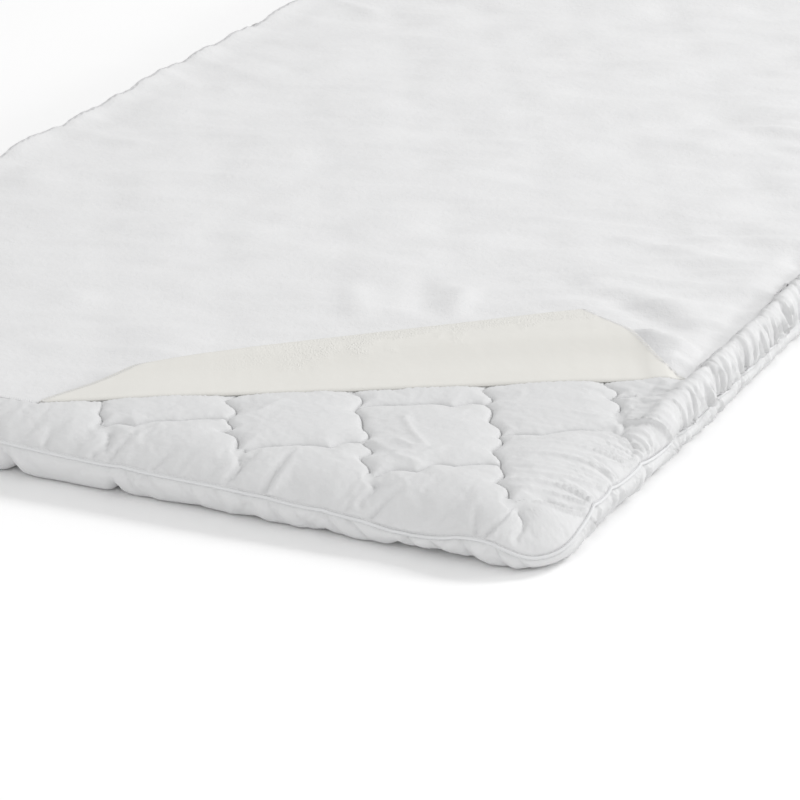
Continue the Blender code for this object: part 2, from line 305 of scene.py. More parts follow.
def quilting(margin, step):
    """The seams further in than the margin, as runs of plan points: long ones, and short ones between."""
    wander = np.random.default_rng(5)
    rows = first_scallop + scallop * np.arange(-2, 68)
    lines = []
    for line in range(-8, 10):
        across = seam_x + line * seam_spacing - seam_slope * (rows - seam_y)
        lines.append(np.stack([across, rows], -1) + wander.normal(0, 0.0038, (len(rows), 2)))
    seams = [bowed(line[::-1], long_bow, step, wander) for line in lines]
    for line, following in zip(lines[:-1], lines[1:]):
        for row in range(2, len(rows) - 2, scallops_a_cell):
            a, b = line[row], following[row + 2]
            bent = wander.normal(0, 0.0035, (2, 2))
            cusps = np.array((a, a + (b - a) / 3 + bent[0], a + (b - a) * 2 / 3 + bent[1], b))
            seams.append(bowed(cusps, short_bow, step, wander))
    kept = []
    for seam in seams:
        inside = inset_of(seam[:, 0], seam[:, 1]) > margin
        cuts = np.flatnonzero(np.diff(inside)) + 1
        for run, keep in zip(np.split(seam, cuts), np.split(inside, cuts)):
            if keep[0] and len(run) > 3:
                kept.append(run)
    return kept


def tree_of(points):
    tree = KDTree(len(points))
    for i, point in enumerate(points):
        tree.insert((point[0], point[1], 0.0), i)
    tree.balance()
    return tree


def away_from(tree, points):
    return np.array([tree.find((x, y, 0.0))[2] for x, y in points])


def honeycomb(low, high, pitch, jitter=0.12):
    """Plan points a pitch apart over a rectangle, a little off their places."""
    shift = np.random.default_rng(3)
    rows = np.arange(low[1], high[1], pitch * math.sqrt(3) / 2)
    columns = np.arange(low[0], high[0], pitch)
    x, y = np.meshgrid(columns, rows)
    x = x + (np.arange(len(rows)) % 2)[:, None] * pitch / 2
    points = np.stack([x.ravel(), y.ravel()], -1)
    return points + shift.uniform(-jitter, jitter, points.shape) * pitch


sheet_right, sheet_width, sheet_length = 0.429, 0.868, 1.882
sheet_left = sheet_right - sheet_width
fold_start, fold_end = np.array((-0.0565, -0.9394)), np.array((0.4295, -0.6504))
fold_along = unit(fold_end - fold_start)
fold_back = left_of(fold_along)


def bareness(points):
    """How far a plan point lies outside the laid part of the protector, in metres, and below 0 under it."""
    x, y = points[:, 0], points[:, 1]
    beside = np.maximum.reduce([x - sheet_right, sheet_left - x, np.abs(y) - sheet_length / 2])
    return np.maximum(beside, -(points - fold_start) @ fold_back)


def sloping(y):
    """1 where the cover rises slowly from the edge, at the ends and past the corners, and else 0."""
    return 1 - smooth((half_y - np.abs(y) - np.where(y < 0, 0.2, 0.08)) / 0.075)


def puffed(x, y):
    """How far the middle of a puff stands above the filling's shoulder."""
    return puff_rise + pad_crown * (1 - (x / half_x) ** 2) * (1 - (y / half_y) ** 2)


# The puffed roll along the long sides: how far in its middle is, its half width and the height of its top.
roll_in, roll_out, roll_top = 0.014, 0.015, 0.056


def behind_roll(x, y, inward):
    """Height of the cover inside a side roll, where the edge of the protector lies in a shallow groove."""
    flank = puffed(x, y) * (smooth((inset_of(x, y) - 0.028) / 0.03) - 1)
    groove = flank - 0.0028 * np.exp(-(((inward - 0.0225) / 0.0055) ** 2))
    behind = pad_shoulder + puffed(x, y) + groove * smooth((y + 0.68) / 0.06)
    return behind + (roll_top - behind) * (1 - smooth((inward - roll_in) / 0.01))


def end_slope(x, y, inward, edge):
    """Height of the cover where it rises slowly from the near or far end."""
    low = edge + 0.0008
    return low + (pad_shoulder + puffed(x, y) - low) * (1 - (1 - np.clip(inward / 0.078, 0.0, 1.0)) ** 2.3)


bare_margin = 0.03  # how far under the protector the cover is still as fine and loose as where it shows


def quilted_plan(boundary, fine, coarse, margin):
    """Fills a closed line with triangles along the seams, and says which points are on it or on a seam."""
    seams = quilting(margin, 0.0028)
    stitched = np.concatenate(seams)
    seam_tree = tree_of(np.concatenate(quilting(0.01, 0.0014)))
    beside = []
    for seam in seams:
        side = left_of(unit(np.gradient(seam, axis=0)))
        for offset in (-0.0013, 0.0013):
            beside.append(seam + offset * side)
    beside = np.concatenate(beside)
    grids = [beside[(bareness(beside) > -bare_margin) & (away_from(seam_tree, beside) > 0.001)]]
    limits = (9.0, -bare_margin, -2.2 * bare_margin, -9.0)
    for pitch, high_limit, low_limit in zip((fine, 2.4 * fine, coarse), limits, limits[1:]):
        grid = honeycomb(boundary.min(0), boundary.max(0), pitch)
        lies = bareness(grid)
        inside = inset_of(grid[:, 0], grid[:, 1]) > rolled + 0.45 * pitch
        grid = grid[(lies > low_limit) & (lies <= high_limit) & inside]
        grids.append(grid[away_from(seam_tree, grid) > 0.55 * min(pitch, 0.006) + 0.0012])
    loose = np.concatenate(grids)
    loose = loose[away_from(tree_of(boundary), loose) > 0.0014]
    plan = [tuple(p) for p in np.concatenate([boundary, stitched, loose])]
    edges, first = [], len(boundary)
    for seam in seams:
        edges.extend((i, i + 1) for i in range(first, first + len(seam) - 1))
        first += len(seam)
    flat, _, triangles, origins, *_ = delaunay_2d_cdt(plan, edges, [list(range(len(boundary)))], 1, 1e-6)
    origin = np.array([min(o) if o else first for o in origins])
    rim = np.where(origin < len(boundary), origin, -1)
    sewn = (origin >= len(boundary)) & (origin < first)
    return np.array([tuple(p) for p in flat]), np.array(triangles), rim, sewn, seam_tree


def mesh_object(name, points, faces, finish):
    mesh = bpy.data.meshes.new(name)
    mesh.from_pydata(np.asarray(points).tolist(), [], faces)
    mesh.shade_smooth()
    mesh.materials.append(finish.material)
    thing = bpy.data.objects.new(name, mesh)
    scene.collection.objects.link(thing)
    return thing


def cover_object(name, rings, flat, height, triangles, rim, underneath):
    """A cover of rings and the flat part inside them: piece, faces and the numbers of the flat points."""
    first = len(rings) * count
    index = np.where(rim >= 0, first - count + rim, first + np.arange(len(flat)))
    used = np.concatenate([np.ones(first, bool), rim < 0])
    number = np.cumsum(used) - 1
    low = np.arange(first - count).reshape(-1, count)
    onward = np.roll(low, -1, axis=1)
    quads = np.stack([low, onward, onward + count, low + count], -1).reshape(-1, 4)
    if underneath:
        quads, triangles = quads[:, [1, 0, 3, 2]], triangles[:, ::-1]
    faces = quads.tolist() + number[index[triangles]].tolist()
    points = np.concatenate([*rings, np.column_stack([flat, height])])[used]
    return mesh_object(name, points, faces, cover_white), faces, number[index]


def places_of(mesh):
    flat = np.empty(len(mesh.vertices) * 3, np.float32)
    mesh.vertices.foreach_get("co", flat)
    return flat.reshape(-1, 3).astype(float)


def move_to(thing, places):
    thing.data.vertices.foreach_set("co", places.astype(np.float32).ravel())
    thing.data.update()


def weigh(thing, name, weights):
    group = thing.vertex_groups.new(name=name)
    steps = np.round(np.asarray(weights) * 20).astype(int)
    for step in np.unique(steps[steps > 0]):
        group.add(np.flatnonzero(steps == step).tolist(), step / 20, "REPLACE")
    return group.name


def settle(thing, held, fullness, spare, pressure, frames, cap):
    """Lets cloth with some to spare bulge and pucker between what holds it, no further than the cap."""
    start = places_of(thing.data)
    loose = np.asarray(held) < 0.5
    start[loose] += np.random.default_rng(9).normal(0.0, 0.0001, (loose.sum(), 3))
    move_to(thing, start)
    cloth = thing.modifiers.new("cloth", "CLOTH")
    settings = cloth.settings
    for name, value in {"quality": 6, "mass": 0.15, "tension_stiffness": 12.0, "compression_stiffness": 12.0,
                        "shear_stiffness": 4.0, "bending_stiffness": 0.02, "tension_damping": 4.0,
                        "compression_damping": 4.0, "shear_damping": 4.0, "bending_damping": 0.4,
                        "air_damping": 4.0, "pin_stiffness": 1.0, "shrink_min": -spare, "shrink_max": 0.0,
                        "use_pressure": True, "uniform_pressure_force": pressure}.items():
        setattr(settings, name, value)
    settings.vertex_group_mass = weigh(thing, "held", held)
    settings.vertex_group_shrink = weigh(thing, "spare", 1 - fullness)
    settings.effector_weights.gravity = 0.0
    cloth.collision_settings.use_collision = False
    cloth.point_cache.frame_start, cloth.point_cache.frame_end = 1, frames
    for number in range(1, frames + 1):
        scene.frame_set(number)
    moved = places_of(thing.evaluated_get(bpy.context.evaluated_depsgraph_get()).data)
    thing.modifiers.remove(cloth)
    scene.frame_set(1)
    shift = moved - start
    length = np.linalg.norm(shift, axis=1)[:, None]
    moved = start + shift * np.minimum(1.0, cap / np.maximum(length, 1e-9))
    move_to(thing, moved)


cover_white = Finish("cover_weave", Roughness=0.85, Sheen_Weight=0.12, Sheen_Roughness=0.5)
mottle = cover_white.clouds(35.0, 3.0)
cover_white.feed("Base Color", cover_white.shade(mottle, (0.664, 0.666, 0.669), (0.692, 0.694, 0.697)))
cover_white.feed("Roughness", mottle * 0.12 + 0.78)
weave_x, weave_y, weave_z = (cover_white.ribs(across, 0.0007) for across in "XYZ")
crinkle = cover_white.clouds(190.0, 3.0)
cover_white.bump((weave_x + weave_y + weave_z) * 0.04 + crinkle, 0.0004)


def edge_place(x, y):
    """The nearest place round the outline, and the distance in from it, of plan points near the rim."""
    along, inward = np.zeros(len(x)), np.full(len(x), 9.0)
    start = 0.0
    for turn, (centre, run) in enumerate(zip(centres, runs)):
        from_x, from_y = x - centre[0], y - centre[1]
        angle = (np.arctan2(from_y, from_x) - math.pi / 2 * (turn - 1)) % (2 * math.pi)
        bent = (from_x * centre[0] > 0) & (from_y * centre[1] > 0)
        along[bent] = start + angle[bent] * corner_radius
        inward[bent] = corner_radius - np.hypot(from_x, from_y)[bent]
        start += arc
        done = (y, -x, -y, x)[turn] + run / 2
        reach = (half_x - x, half_y - y, half_x + x, half_y + y)[turn]
        share = done / run
        reach = reach - draw_in * 4 * share * (1 - share)
        beside = (share > 0) & (share < 1) & (reach < inward)
        along[beside] = start + done[beside]
        inward[beside] = reach[beside]
        start += run
    return along, inward


def gathers(place, run, spacing, length, height, width, slant, draw):
    """Rows of (place, length, height, width, slant, pinch it leans to) for one stretch of the edge."""
    rows, end = [], place + run
    while place < end:
        gap = gap_to(place, pinches[:, 0])
        lean = gap[np.argmin(np.abs(gap))]
        sizes = [draw.uniform(*limits) for limits in (length, height, width, slant)]
        rows.append((place, *sizes, lean if abs(lean) < 0.05 else 0.0))
        place += draw.uniform(*spacing)
    return rows


def folded(along, reach, rows):
    """How far ridges and creases that start at the edge seam lift the cloth, at distances from it."""
    lift = np.zeros(len(along))
    for place, length, height, width, slant, lean in rows:
        offset = gap_to(place, along)
        close = np.flatnonzero((np.abs(offset) < 0.03 + abs(slant) * length) & (reach < length))
        inward = reach[close]
        line = slant * inward + lean * 0.55 * np.exp(-inward / 0.012)
        share = inward / length
        wide = width * (0.55 + 0.45 * np.sin(math.pi * share) ** 0.5)
        away = np.abs(offset[close] - line) / wide
        swell = np.minimum(1.0, inward / 0.005) * (1 - share) ** 0.8
        lift[close] += height * swell * np.exp(-(away ** 1.3))
    return lift


draw = np.random.default_rng(41)
corner_gathers = gathers(right_start + 0.012, 0.238, (0.007, 0.012), (0.045, 0.11), (0.0011, 0.0025),
                         (0.0024, 0.004), (-0.4, -0.26), draw)
side_gathers = gathers(right_start + 0.25, run_y - 0.27, (0.006, 0.011), (0.036, 0.056), (0.0028, 0.0048),
                       (0.0022, 0.0036), (-0.45, 0.25), draw)
side_gathers += gathers(left_start + 0.02, run_y - 0.04, (0.007, 0.013), (0.032, 0.052), (0.002, 0.004),
                        (0.0026, 0.0044), (-0.4, 0.4), draw)
end_gathers = gathers(far_start, run_x, (0.012, 0.03), (0.01, 0.028), (-0.0012, 0.0012), (0.0025, 0.0045),
                      (-0.5, 0.5), draw)
end_gathers += gathers(near_start, run_x, (0.012, 0.03), (0.01, 0.026), (-0.0012, 0.0012), (0.0025, 0.0045),
                       (-0.5, 0.5), draw)
# Single creases of the near end: place from its middle, length, height, width and slant.
near_creases = [(near_start + run_x / 2 + x, *sizes, 0.0) for x, *sizes in (
    (0.386, 0.04, -0.003, 0.003, 0.45), (0.38, 0.03, -0.0022, 0.0028, -0.35),
    (0.392, 0.028, 0.002, 0.0045, 0.1), (0.284, 0.034, -0.0024, 0.0028, 0.4),
    (0.262, 0.02, -0.0018, 0.0026, 0.05), (0.187, 0.06, -0.0028, 0.0032, 0.05),
    (0.194, 0.045, 0.0018, 0.005, 0.1), (0.151, 0.05, -0.0026, 0.003, 0.2),
    (0.081, 0.022, -0.002, 0.0028, 0.5), (0.041, 0.034, -0.0024, 0.003, 0.15),
    (0.024, 0.026, -0.002, 0.0028, 0.3), (-0.02, 0.03, -0.0018, 0.0028, -0.2))]
upper_folds = corner_gathers + side_gathers + end_gathers + near_creases


seam_depth, hollow_wide, groove_wide, groove_part = 0.0056, 0.026, 0.0032, 0.7


def seam_drop(to_seam, inward):
    """How far the cover lies below the top of the puffs: a wide hollow with a narrow groove in it."""
    hollow, groove = 1 - smooth(to_seam / hollow_wide), np.exp(-to_seam / groove_wide)
    depth = seam_depth * ((1 - groove_part) * hollow + groove_part * groove)
    return depth * smooth((inward - 0.004) / 0.045)


# The edge roll, as rings from the piping in to where the flat part starts.
rolls, top_rolls, roll_reach = 22, [], []
swept = 0.62  # the share of the rings that goes round the roll of a long side
roll_lift, roll_belly = 0.0085, 0.0102  # the roll's middle above the edge seam, and its depth below that
full_pinch, nip_depth, nip_in, trench_depth = 0.0026, 0.0045, 0.0035, 0.0022
point, out, near = outline(stations)
along_pull = pull(stations)
edge_level = seam_level(stations, near)
end_share = sloping(point[:, 1])
reach = np.zeros(count)
nipped = np.clip(along_pull / full_pinch, 0.0, 1.0) * (1 - end_share)
roll_middle = edge_level + roll_lift
for share in np.linspace(0.0, 1.0, rolls):
    turn = math.radians(-49 + 139 * min(1.0, share / swept))
    side_in = roll_in - (roll_out - nip_in * nipped) * math.cos(turn)
    side_in += (rolled - roll_in) * max(0.0, share - swept) / (1 - swept)
    inward = (1 - end_share) * side_in + end_share * rolled * share
    plan = point - out * inward[:, None]
    side_height = roll_middle + (roll_belly if turn < 0 else roll_top - roll_middle) * math.sin(turn)
    if share > swept:
        side_height = behind_roll(plan[:, 0], plan[:, 1], side_in)
    end_height = end_slope(plan[:, 0], plan[:, 1], rolled * share, edge_level)
    height = side_height * (1 - end_share) + end_height * end_share
    height = height - nip_depth * nipped * math.sin(math.pi * min(1.0, share * 1.1)) ** 2
    tuck = 0.004 * end_share * np.exp(-(height - edge_level - 0.0008) / 0.0035)
    pulled = tuck + along_pull * (1 - share) ** 1.5
    top_rolls.append(np.column_stack([plan - out * pulled[:, None], height]))
    if share:
        reach = reach + np.linalg.norm(top_rolls[-1] - top_rolls[-2], axis=1)
    roll_reach.append(reach)
flat, triangles, rim, sewn, seam_tree = quilted_plan(top_rolls[-1][:, :2], fine=0.0025, coarse=0.02,
                                                     margin=rolled + 0.013)
roll_to_seam = []
shaped = [top_rolls[0]]
for below, ring, reach in zip(top_rolls, top_rolls[1:], roll_reach[1:]):
    to_seam = away_from(seam_tree, ring[:, :2])
    roll_to_seam.append(to_seam)
    step = ring - below
    climb = step[:, 2] / np.maximum(np.linalg.norm(step, axis=1), 1e-9)
    normal = np.column_stack([out * climb[:, None], np.sqrt(1 - np.clip(climb, -1, 1) ** 2)])
    inward = np.linalg.norm(ring[:, :2] - point, axis=1)
    lift = folded(stations, reach, upper_folds) - seam_drop(to_seam, inward) * (0.35 + 0.65 * end_share)
    shaped.append(ring + normal * lift[:, None])

# The flat part inside the rings. Its seams are shallower below the turned-back corner of the protector.
to_seam = away_from(seam_tree, flat)
to_seam[sewn] = 0.0
flat_along, inner = edge_place(flat[:, 0], flat[:, 1])
flat_edge, _, flat_near = outline(flat_along)
flat_share = sloping(flat_edge[:, 1])
end_height = end_slope(flat[:, 0], flat[:, 1], inner, seam_level(flat_along, flat_near))
height = behind_roll(flat[:, 0], flat[:, 1], inner) * (1 - flat_share) + end_height * flat_share
flat_reach = np.interp(flat_along, stations, roll_reach[-1], period=round_pad) + inner - rolled
height += folded(flat_along, flat_reach, upper_folds) * (1 - np.exp(-to_seam / 0.006))
pressed = 1 - 0.7 * np.exp(-((bareness(flat) / 0.016) ** 2))
height -= seam_drop(to_seam, inner) * pressed
upper_cover, faces_up, on_flat = cover_object("upper_cover", shaped, flat, height, triangles, rim, False)

held, fullness, trench, sharpened = np.zeros((4, len(upper_cover.data.vertices)))
held[:count] = 1.0
fullness[:rolls * count] = np.tile(1.0 - 0.75 * end_share, rolls)
for level, distance in enumerate(roll_to_seam, 1):
    here = slice(level * count, (level + 1) * count)
    close = np.exp(-((distance / 0.002) ** 2)) * end_share * smooth((roll_reach[level] - 0.004) / 0.012)
    held[here] = close > 0.5
    trench[here] = close
held[on_flat] = sewn | (bareness(flat) < -bare_margin)
fullness[on_flat] = 0.08 + (0.92 - 0.75 * flat_share) * np.exp(-np.maximum(inner - rolled, 0.0) / 0.025)
trench[on_flat] = np.where(sewn, pressed, 0.0)
settle(upper_cover, held, fullness, spare=0.045, pressure=0.9, frames=18, cap=0.009)
settled = places_of(upper_cover.data)
settled[:, 2] -= trench_depth * trench

# Crisp ridges along the gathers, each with a valley beside it.
crisp = [(*row[:2], 0.9 * row[2], 0.7 * row[3], *row[4:]) for row in near_creases]
for rows, ridge, valley in ((corner_gathers, 0.95, -0.55), (side_gathers, 0.7, -0.85)):
    for place, length, height, width, slant, lean in rows:
        crisp.append((place, 0.9 * length, ridge * height, 0.42 * width, slant, lean))
        place += 0.6 * width + 0.003
        crisp.append((place, 0.8 * length, valley * height, 0.36 * width, slant + 0.15, lean))
# A few soft creases of its own wander over the puffs: plan points, width and height.
wandering = (
    (((0.246, -0.842), (0.268, -0.872), (0.288, -0.893), (0.279, -0.899), (0.263, -0.89)), 0.0032, 0.0017),
    (((0.24, -0.895), (0.267, -0.912), (0.291, -0.91), (0.301, -0.891)), 0.0034, 0.0014),
    (((0.272, -0.918), (0.308, -0.926), (0.334, -0.904)), 0.0036, 0.0015),
    (((0.105, -0.905), (0.128, -0.88), (0.135, -0.852)), 0.004, 0.0012),
    (((0.02, -0.945), (0.045, -0.93), (0.06, -0.905)), 0.004, 0.0012))


def along_line(spots, start, end):
    """How far along a line plan points are, as a share of it, and how far they are from it."""
    run = np.subtract(end, start)
    share = np.clip((spots - start) @ run / (run @ run), 0.0, 1.0)
    return share, np.linalg.norm(spots - start - share[:, None] * run, axis=1)


over_puffs = np.zeros(len(flat))
for corners, width, height in wandering:
    for start, end in zip(corners, corners[1:]):
        away = along_line(flat, start, end)[1]
        over_puffs = np.maximum(over_puffs, height * np.exp(-((away / width) ** 1.5)))
for level in range(1, rolls):
    sharpened[level * count:(level + 1) * count] = folded(stations, roll_reach[level], crisp)
sharpened[on_flat] = (folded(flat_along, flat_reach, crisp) + over_puffs) * (1 - np.exp(-to_seam / 0.004))
upper_cover.data.update()
normals = np.empty(len(settled) * 3, np.float32)
upper_cover.data.vertices.foreach_get("normal", normals)
settled += normals.reshape(-1, 3) * sharpened[:, None]
move_to(upper_cover, settled)
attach(upper_cover, "root")
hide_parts("quilted_pad")

# ----------------------------------------------------------
# The pad's lower cover: the same white cloth, quilted through from above. It is flat where the pad lies on
# it, and its rim rolls up to the piping, tucked here and there and finely gathered along the sides.
lower_rolls, under_in = 15, 0.044
lower_draw = np.random.default_rng(77)
lower_folds = gathers(right_start, run_y, (0.006, 0.01), (0.02, 0.042), (0.0026, 0.005), (0.0018, 0.003),
                      (-0.9, 0.1), lower_draw)
lower_folds += gathers(left_start, run_y, (0.007, 0.012), (0.02, 0.042), (0.0014, 0.003), (0.0022, 0.0034),
                       (-0.3, 0.5), lower_draw)
for start in (far_start, near_start):
    lower_folds += gathers(start, run_x, (0.007, 0.016), (0.026, 0.052), (-0.0052, 0.0036), (0.0028, 0.0056),
                           (-0.9, 0.9), lower_draw)
for x in near_pinches:
    for shift, *sizes in ((0.0, -0.005, 0.0034, 0.5), (0.009, 0.003, 0.0045, 0.7),
                          (-0.01, 0.0028, 0.0045, 0.2), (0.02, -0.003, 0.003, 0.9)):
        lower_folds.append((near_start + run_x / 2 + x + shift, 0.04, *sizes, 0.0))
# Where the rim is tucked up off what the pad lies on: place from the near end's middle, lift and width.
tucks = [(near_start + run_x / 2 + x, lift, width) for x, lift, width in (
    (-0.2, 0.0045, 0.01), (-0.125, 0.0025, 0.018), (-0.056, 0.0065, 0.007), (0.045, 0.0075, 0.005),
    (0.12, 0.0015, 0.02), (0.175, 0.0022, 0.01), (0.241, 0.003, 0.008), (0.308, 0.0055, 0.006),
    (0.344, 0.0055, 0.026), (0.372, 0.0035, 0.008))]
for start, run in ((right_start, run_y), (far_start, run_x), (left_start, run_y), (near_start, 0.18)):
    place = start + 0.02
    while place < start + run - 0.02:
        tucks.append((place, lower_draw.uniform(0.001, 0.0045), lower_draw.uniform(0.004, 0.012)))
        place += lower_draw.uniform(0.018, 0.06)
tucked = np.zeros(count)
for place, lift, width in tucks:
    tucked = np.maximum(tucked, lift * np.exp(-((np.abs(gap_to(place, stations)) / width) ** 1.4)))


def ring_at(inward, height):
    """Points round the pad, that far in from its outline and that high."""
    return np.column_stack([point - out * inward[:, None], height])


low_rings, reach = [], np.zeros(count)
high_edge = edge_level - 0.001
turns = np.linspace(0.0, math.pi / 2, lower_rolls - 3)
side_under, end_under = 0.0205, 0.02  # how far in from the edge the cover first lies flat
under = side_under * (1 - end_share) + end_under * end_share
for level in range(lower_rolls):
    angle, beyond = turns[min(level, len(turns) - 1)], max(0, level - len(turns) + 1)
    inward = under * (1 - math.cos(angle)) ** 0.9 + (under_in - under) * beyond / 3
    down = math.sin(angle)
    inward += 0.0042 * np.exp(-high_edge * down / 0.0035) + along_pull * (1 - 0.7 * down)
    if level < lower_rolls - 1:
        inward += 0.9 * tucked * down
    raised = tucked * down ** 2 * max(0.0, 1 - 0.4 * beyond)
    here = ring_at(inward, high_edge * (1 - down) + raised)
    if level:
        reach = reach + np.linalg.norm(here - last, axis=1)
    last = here
    lift = folded(stations, reach, lower_folds) if level else np.zeros(count)
    fade = max(math.cos(angle) ** 0.5, 0.25) if level < len(turns) else 0.0
    way = np.column_stack([out * (0.25 + 0.75 * math.cos(angle)), np.full(count, -0.6 * down)])
    shifted = here + way * (lift * fade)[:, None]
    shifted[:, 2] = np.maximum(shifted[:, 2], 0.0)
    low_rings.append(shifted)
flat, triangles, rim, _, seam_tree = quilted_plan(low_rings[-1][:, :2], fine=0.01, coarse=0.01,
                                                  margin=under_in + 0.01)
low_seam_rise, low_seam_wide = 0.0025, 0.014
height = low_seam_rise * (1 - smooth(away_from(seam_tree, flat) / low_seam_wide))
lower_cover = cover_object("lower_cover", low_rings, flat, height, triangles, rim, True)[0]
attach(lower_cover, "root")
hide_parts("quilted_pad")

# ----------------------------------------------------------
# The quilting thread: white polyester, one lockstitch after another along the bottom of every seam that
# shows. It holds both covers and the filling together.
thread_white = Finish("sewing_thread", Roughness=0.55)
twist = thread_white.ribs("DIAGONAL", 0.0006)
thread_white.feed("Base Color", thread_white.shade(twist, (0.7, 0.7, 0.71), (0.8, 0.8, 0.8)))
thread_white.bump(twist, 0.0001)


def threads(name, paths, thick, finish):
    """One mesh of many short threads: paths holds each one's points."""
    way = unit(np.gradient(paths, axis=1))
    side = unit(np.cross(way, (0.31, 0.17, 0.93)))
    up = np.cross(way, side)
    rings = np.stack([paths + thick / 2 * turned for turned in (side, up, -side, -up)], axis=2)
    stitches, steps_each = paths.shape[:2]
    block = []
    for step in range(steps_each - 1):
        for corner in range(4):
            nearer, next_one = step * 4 + corner, step * 4 + (corner + 1) % 4
            block.append([nearer, next_one, next_one + 4, nearer + 4])
    last = (steps_each - 1) * 4
    block += [[3, 2, 1, 0], [last, last + 1, last + 2, last + 3]]
    starts = np.arange(stitches)[:, None, None] * steps_each * 4
    faces = (np.array(block)[None] + starts).reshape(-1, 4).tolist()
    thing = mesh_object(name, rings.reshape(-1, 3), faces, finish)
    thing.data.shade_flat()
    return thing


def dashes(seam, stitch, gap):
    """Start and end points of stitches along a run of points."""
    so_far = np.concatenate([[0.0], np.cumsum(np.linalg.norm(np.diff(seam, axis=0), axis=1))])
    begin = np.arange(gap, so_far[-1] - stitch - gap, stitch + gap)
    parts = []
    for share in (0.0, 0.5, 1.0):
        at = begin + share * stitch
        parts.append(np.stack([np.interp(at, so_far, seam[:, axis]) for axis in range(seam.shape[1])], -1))
    return np.stack(parts, axis=1)


cover_tree = BVHTree.FromPolygons(settled.tolist(), faces_up)


def cover_below(x, y):
    """The point of the upper cover straight below a plan point."""
    return cover_tree.ray_cast((x, y, 0.2), (0, 0, -1))[0]


spots = np.concatenate([dashes(seam, 0.003, 0.0009) for seam in quilting(0.046, 0.001)])
spots = spots[bareness(spots[:, 1]) > -0.012]
tops = [cover_below(x, y).z for stitch in spots.tolist() for x, y in stitch]
lifted = np.reshape(tops, (-1, 3)) + (-0.0001, 0.0003, -0.0001)
quilt_thread = threads("quilting_thread", np.dstack([spots, lifted]), 0.0004, thread_white)
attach(quilt_thread, "root")

# ----------------------------------------------------------
# The piping: a bias strip of the cover's own cloth sewn round a thin cord and caught in the edge seam, with
# a row of stitches close beside it in each cover.
cord_thick, cord_in = 0.003, 0.0028
cord_white = Finish("piping_cloth", Roughness=0.8, Sheen_Weight=0.1)
bias = cord_white.ribs("DIAGONAL", 0.0008)
cord_white.feed("Base Color", cord_white.shade(cord_white.clouds(60.0), (0.67, 0.675, 0.68),
                                               (0.71, 0.715, 0.72)))
cord_white.feed("Roughness", cord_white.clouds(25.0) * 0.1 + 0.75)
cord_white.bump(bias * 0.3 + cord_white.clouds(300.0), 0.0002)
spots = ring_at(cord_in + along_pull, edge_level)
cord = bpy.data.curves.new("piping", "CURVE")
cord.dimensions = "3D"
cord.bevel_depth = cord_thick / 2
cord.bevel_resolution = 3
line = cord.splines.new("POLY")
line.points.add(count - 1)
line.points.foreach_set("co", np.column_stack([spots, np.ones(count)]).ravel())
line.use_cyclic_u = True
cord.materials.append(cord_white.material)
piping = bpy.data.objects.new("piping", cord)
scene.collection.objects.link(piping)
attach(piping, "root")
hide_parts("edge_piping")

rows = []
for height in (0.002, -0.002):
    path = ring_at(cord_in + 0.0004 + along_pull, edge_level + height)
    rows.append(dashes(path, 0.0026, 0.001))
piping_thread = threads("piping_thread", np.concatenate(rows), 0.0005, thread_white)
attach(piping_thread, "root")

# ----------------------------------------------------------
# The protector: one rectangle of white brushed cloth with a cream waterproof film on its underside. It lies
# loose on the pad, and its near right corner is turned back in a roll, with the tip folded under again.
cloth_thick, cloth_gap = 0.0012, 0.0004
tip_start, tip_end = 0.093, 0.142
tip_radii = 0.006, 0.0125  # the second fold is a soft roll, wider towards the right
tip_held, tip_room, least_room = 0.0045, 0.0016, 0.0013  # where the tip stops under the first fold, its room
# Slope of the turned-back cloth by the length of cloth past the fold, at the fold's left and right ends.
fold_slopes = ((0.0, 180.0, 180.0), (0.0022, 90.0, 90.0), (0.004, 20.0, 28.0), (0.008, 5.0, 9.0),
               (0.025, 7.0, 12.0), (0.035, 14.0, 26.0), (0.045, 21.0, 36.0), (0.057, 21.0, 36.0),
               (0.067, 7.0, 12.0), (0.077, 0.0, -1.0), (0.105, 0.0, -1.0), (0.148, 2.0, 4.0),
               (0.25, -6.0, -9.0))
fine_step = 0.0002
steps = np.arange(0.0, 0.4, fine_step)
fold_shapes = []
past_fold, *slopes = zip(*fold_slopes)
for degrees in slopes:
    slope = np.radians(np.interp(steps, past_fold, degrees))
    reach, rise = np.cumsum(fine_step * np.cos(slope)), np.cumsum(fine_step * np.sin(slope))
    fold_shapes.append((reach - reach[0], rise, slope))


def fold_place(flat):
    """Points of the flat cloth as their place along the first fold and their distance past it."""
    return (flat - fold_start) @ fold_along, -(flat - fold_start) @ fold_back


# The second fold, which turns the tip under, from the near edge of the cloth to its right edge.
tip_from = np.array(fold_place(fold_start + (tip_start, 0.0)))
tip_to = np.array(fold_place(fold_end - (0.0, tip_end)))
tip_along = unit(tip_to - tip_from)
tip_beyond = left_of(tip_along)


